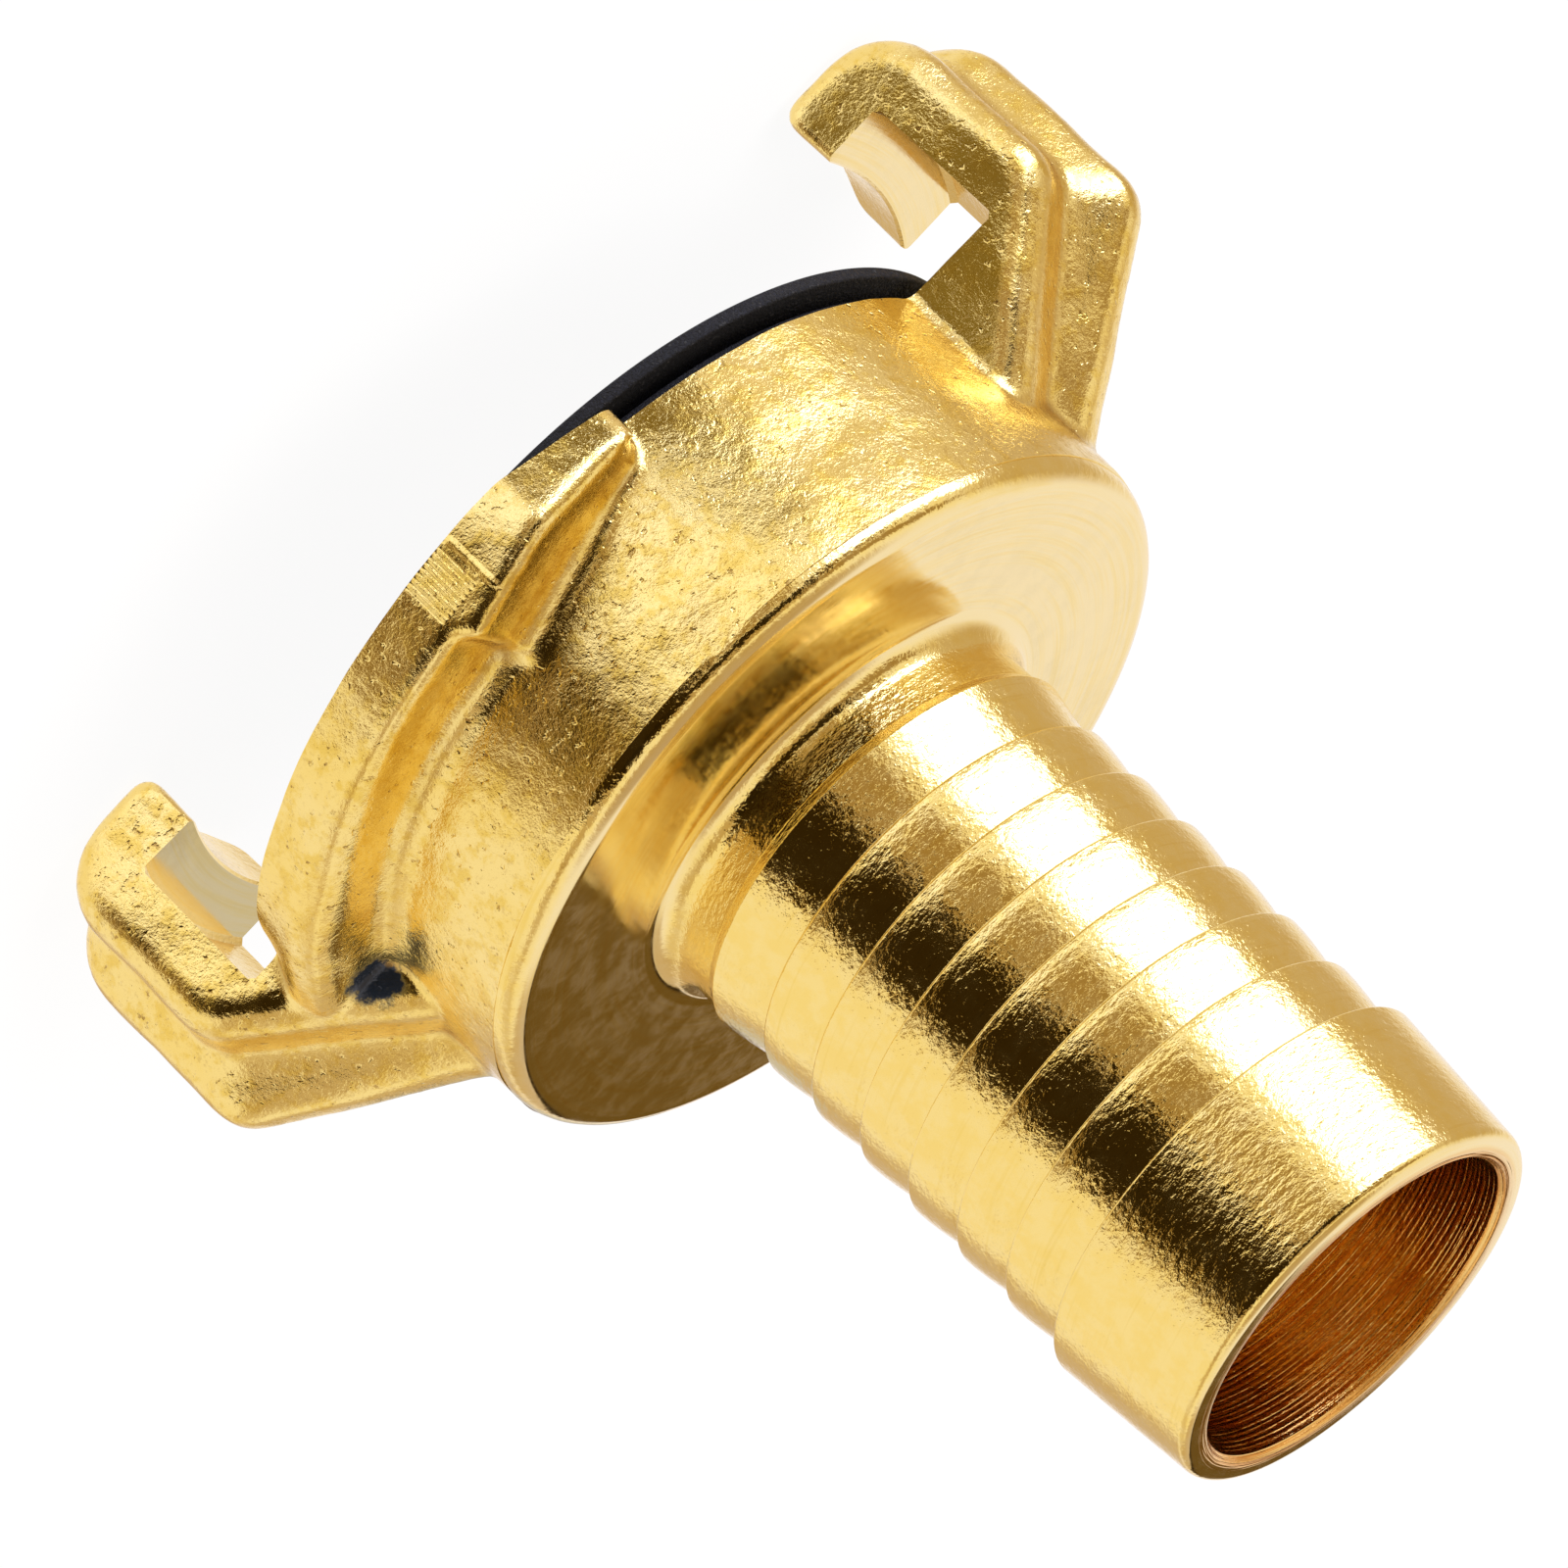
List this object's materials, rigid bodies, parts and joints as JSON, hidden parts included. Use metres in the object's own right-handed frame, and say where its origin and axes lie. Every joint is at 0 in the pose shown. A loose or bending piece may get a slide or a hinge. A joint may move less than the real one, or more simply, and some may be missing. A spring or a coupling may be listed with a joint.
{
  "type": "claw hose coupling",
  "caption": "Two-claw quick coupling half with a barbed hose tail and a rubber form seal, for joining hoses by a push and a part turn.",
  "frame": {"origin": "centre of the bounding box's base: on the bore axis, in the plane of the two claw ends the coupling stands on", "axes": "+Z along the bore towards the hose tail, +X through one claw; the same after half a turn about Z"},
  "size_m": [0.0556, 0.045, 0.0538],
  "materials": {
    "brass": "forged and turned, lightly polished",
    "black_rubber": "moulded, satin"
  },
  "bodies": {
    "root": {"coupling_body": "brass", "form_seal": "black_rubber"}
  },
  "joints": []
}
